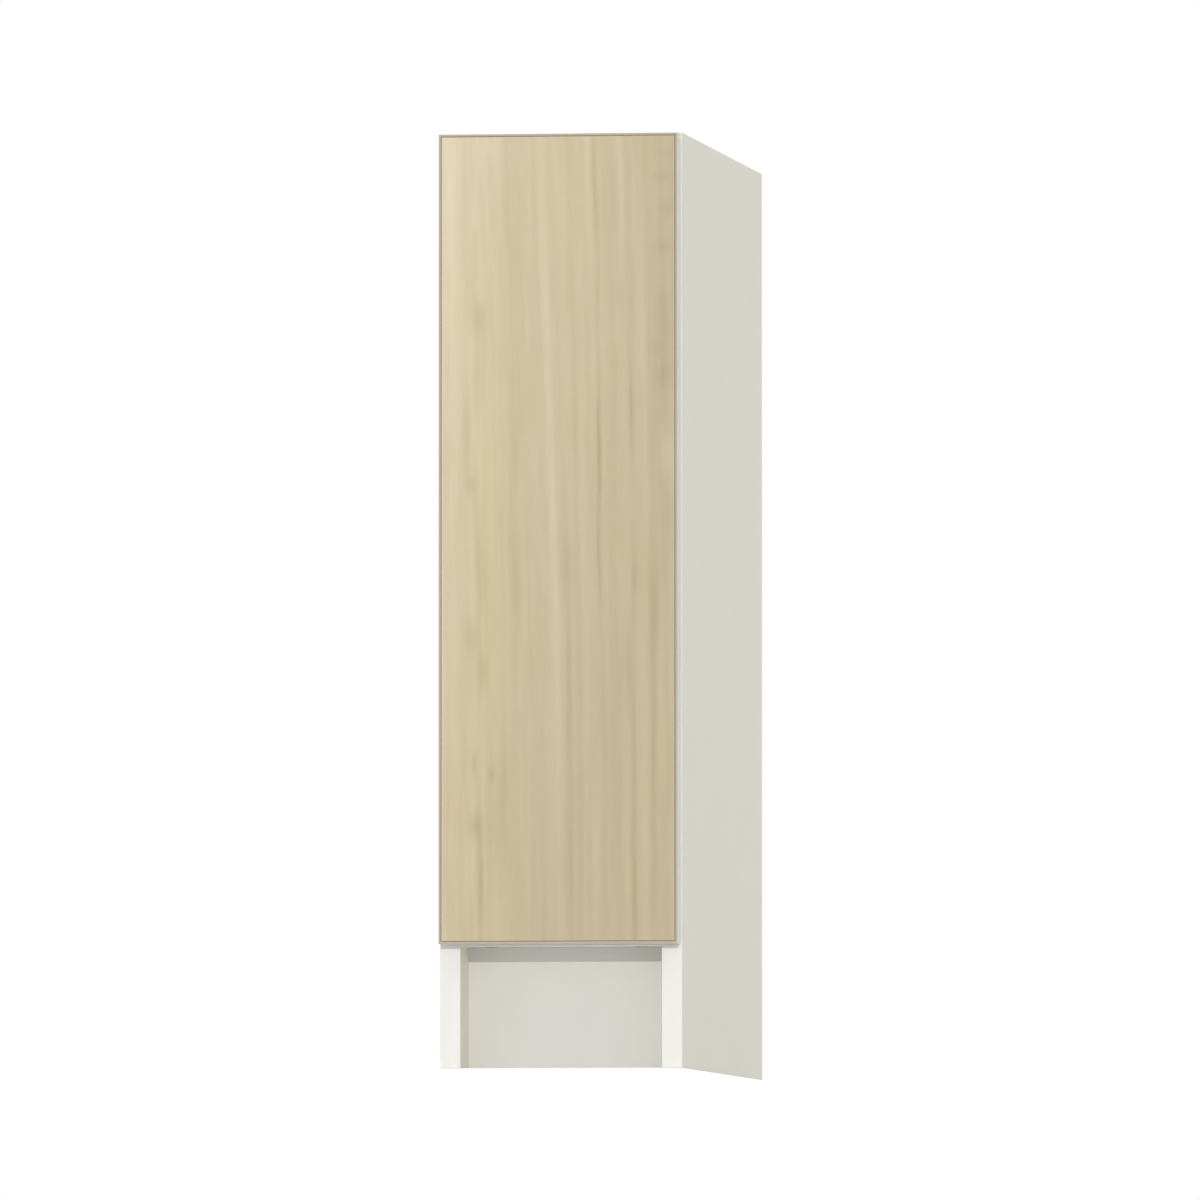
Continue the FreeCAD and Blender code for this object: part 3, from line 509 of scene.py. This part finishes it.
def slot_finishes():
    """The finishes of the material slots whose pieces all look alike."""
    return {
        "front_laminate": maple_laminate(*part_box("front_panel")),
        # Edging in two tones: pale round the front's sides, with a darker outline towards the viewer
        "front_edge_band": abs_band("two_tone_abs_edging_buffed", "#e6dfd2", "#e1dacc", "#b4aa9b"),
        # White edging: a little whiter and glossier than the boards
        "white_edge_band": abs_band("white_abs_edging_buffed", "#f1f0eb", "#eeede8"),
        # Sawn pine: broad honey-coloured stripes up the block
        "pine_block": plain_wood("pine_sawn", "#e3c593", "#c99a5d", ring=3.0, along=Z_AXIS),
        # Turned beech: fine, even and a little pink
        "beech_dowel": plain_wood("beech_turned", "#d9b88e", "#c69f73", ring=1.5, along=X_AXIS),
        # Rolled steel with zinc: a cool satin with faint lines along the slide
        "slide_steel": metal("zinc_plated_rolled_steel", "#c9cbcc", "#b4b7ba", roughness=0.32,
                             spread=0.08, marks=(0.8, 60, 0.8), depth=0.004),
        # Bearing steel: clear little mirrors
        "ball_steel": metal("bearing_steel_polished", "#d6d8da", "#cfd1d4", roughness=0.08,
                            spread=0.02, marks=(1, 1, 1), depth=0.001),
        # Chrome on drawn tube: a bright mirror with long soft waves
        "rail_chrome": metal("chrome_plated_tube", "#dddfe1", "#d6d9dc", roughness=0.07,
                             spread=0.03, marks=(4, 40, 4), depth=0.001),
        # Screws with zinc: light grey, mottled and half bright
        "screw_steel": metal("zinc_plated_screw_steel", "#c4c6c6", "#a9acad", roughness=0.3,
                             spread=0.06, marks=(0.7, 0.7, 0.7), depth=0.01),
        # Cast zinc: dull grey with a fine grain
        "cam_zinc": metal("die_cast_zinc", "#a9abac", "#95989a", roughness=0.45,
                          spread=0.08, marks=(0.9, 0.9, 0.9), depth=0.02),
        # Drawn wire: darker grey with fine lines
        "spring_steel": metal("spring_steel_drawn", "#9fa1a3", "#85888b", roughness=0.28,
                              spread=0.06, marks=(0.3, 4, 0.3), depth=0.003),
        # Nylon: black with a soft sheen
        "adjuster_plastic": moulded("black_nylon_moulded", "#333435", "#2a2b2c", roughness=0.5,
                                    grit=0.5, ior=1.53),
        # Acetal: pale grey and silky
        "latch_plastic": moulded("grey_acetal_moulded", "#cfcfcb", "#c6c6c2", roughness=0.4,
                                 grit=0.5, ior=1.48),
        # Soft rubber: dark grey and matt
        "latch_pad": moulded("soft_rubber_moulded", "#4c4d4e", "#434445", roughness=0.75,
                             grit=0.4, ior=1.52),
    }


def dress_cabinet():
    """Gives every piece its finish, by the material slot that the record names for it."""
    boards = {axis: melamine_board("white", axis, "#f0ecde", "#eeeadd") for axis in AXES}
    # Painted shade: the toe kick's board is greyer than the other white boards, standing in for the shade
    # of its recess under the front
    kick_board_painted_shade = melamine_board("recess_shade_grey", Y_AXIS, "#e3e1dc", "#e1dfda")
    finishes = slot_finishes()
    for subpart in frame["record"]["subparts"]:
        node, slot = subpart["node"], subpart["material_slot"]
        piece = frame["nodes"][node]
        if node == "toe_kick":
            finish = kick_board_painted_shade
        elif slot == "white_melamine":
            finish = boards[thin_axis(node)]
        elif slot == "birch_ply":
            finish = birch_plywood(node)
        else:
            finish = finishes[slot]
        piece.data.materials.clear()
        piece.data.materials.append(finish)
        if slot in ("white_melamine", "birch_ply", "front_edge_band", "white_edge_band"):
            soften(piece)


def fit_spring():
    """The latch's spring, which in the latch shortens towards the end of its bore as the plunger is
    pressed.
    Here it is a copy with a mesh of its own that rides with the carcass in place of the imported one, and
    it is not shortened.
    """
    spring = bpy.data.objects.new("compression_spring", frame["nodes"]["latch_spring"].data.copy())
    bpy.context.scene.collection.objects.link(spring)
    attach(spring, "carcass")
    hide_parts("latch_spring")
    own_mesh(spring)


def flat_sheet(name, low, high, z):
    """A level rectangle between two corners."""
    corners = [(low[0], low[1], z), (high[0], low[1], z), (high[0], high[1], z), (low[0], high[1], z)]
    mesh = bpy.data.meshes.new(name)
    mesh.from_pydata(corners, [], [(0, 1, 2, 3)])
    sheet = bpy.data.objects.new(name, mesh)
    bpy.context.scene.collection.objects.link(sheet)
    return sheet


def background_seen(tree):
    """1 where the room itself is looked at, straight or mirrored, and 0 where it lights something."""
    path = put(tree, "LightPath").outputs
    mirrored = put(tree, "Math", {0: path["Is Glossy Ray"], 1: path["Is Transmission Ray"]},
                   operation="MAXIMUM")
    return put(tree, "Math", {0: path["Is Camera Ray"], 1: mirrored}, operation="MAXIMUM")


def lay_floor():
    """A pale matt floor that keeps the shadow. The view looks up through it, so its underside is clear,
    apart from a white sheet under the cabinet itself.
    """
    floor = flat_sheet("floor", (-FLOOR_HALF, -FLOOR_HALF), (FLOOR_HALF, FLOOR_HALF), -FLOOR_DROP)
    paint, tree = blank("pale_matt_floor")
    clouds = pattern(tree, millimetres(tree), FLOOR_CLOUDS, seed=2.8, Detail=3.0)
    cloud = put(tree, "MapRange", {"Value": clouds, "From Min": -0.6, "From Max": 0.6})
    shown = put(tree, "Mix", {"Factor": cloud, "A": linear("#eff1f5"), "B": linear("#edeff3")},
                data_type="RGBA")
    matt = put(tree, "BsdfDiffuse", {"Color": shown})
    glow = put(tree, "Math", {0: background_seen(tree), 1: FLOOR_GLOW}, operation="MULTIPLY")
    lit = put(tree, "AddShader", {0: matt, 1: put(tree, "Emission", {"Strength": glow})})
    under = put(tree, "NewGeometry").outputs["Backfacing"]
    both = put(tree, "MixShader", {0: under, 1: lit, 2: put(tree, "BsdfTransparent")})
    put(tree, "OutputMaterial", {"Surface": both})
    floor.data.materials.append(paint)

    low, high = cad_box
    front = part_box("right_side_edge_band")[0].y
    footprint = flat_sheet("floor_under_cabinet", (low.x, front), (high.x, high.y), -UNDERSIDE_DROP)
    white, tree = blank("white_seen_from_below")
    put(tree, "OutputMaterial", {"Surface": put(tree, "Emission", {"Strength": 1.0})})
    footprint.data.materials.append(white)


def outward(azimuth, elevation):
    """The way from the cabinet to a camera or lamp: round to the right of its front, and up."""
    return Vector((math.sin(azimuth) * math.cos(elevation), -math.cos(azimuth) * math.cos(elevation),
                   math.sin(elevation)))


def light_room():
    """An even white dome and the lamps in front. The dome itself shows as pure white, also in metal."""
    world = bpy.data.worlds.new("white_room")
    world.use_nodes = True
    tree = world.node_tree
    tree.nodes.clear()
    dome = put(tree, "Background", {"Color": linear("#ffffff"), "Strength": DOME_STRENGTH})
    white = put(tree, "Background", {"Color": linear("#ffffff"), "Strength": 1.0})
    both = put(tree, "MixShader", {0: background_seen(tree), 1: dome, 2: white})
    put(tree, "OutputWorld", {"Surface": both})
    bpy.context.scene.world = world

    for name, (elevation, angle, strength, colour) in LAMPS.items():
        lamp = bpy.data.objects.new(name, bpy.data.lights.new(name, "SUN"))
        lamp.data.angle = angle
        lamp.data.energy = strength
        lamp.data.color = linear(colour)[:3]
        lamp.rotation_euler = (-outward(VIEW_AZIMUTH, elevation)).to_track_quat("-Z", "Y").to_euler()
        bpy.context.scene.collection.objects.link(lamp)


def set_camera():
    """A very long lens at the photograph's angle, so that the front stays nearly square."""
    camera = bpy.data.objects.new("camera", bpy.data.cameras.new("camera"))
    camera.data.sensor_width = SENSOR_WIDTH
    camera.data.lens = LENS
    camera.data.clip_end = CLIP_END
    back = outward(VIEW_AZIMUTH, VIEW_ELEVATION)
    camera.location = VIEW_TARGET + back * VIEW_DISTANCE
    camera.rotation_euler = (-back).to_track_quat("-Z", "Y").to_euler()
    bpy.context.scene.collection.objects.link(camera)
    bpy.context.scene.camera = camera


dress_cabinet()
fit_spring()
lay_floor()
light_room()
set_camera()
bpy.context.scene.view_settings.view_transform = "Standard"
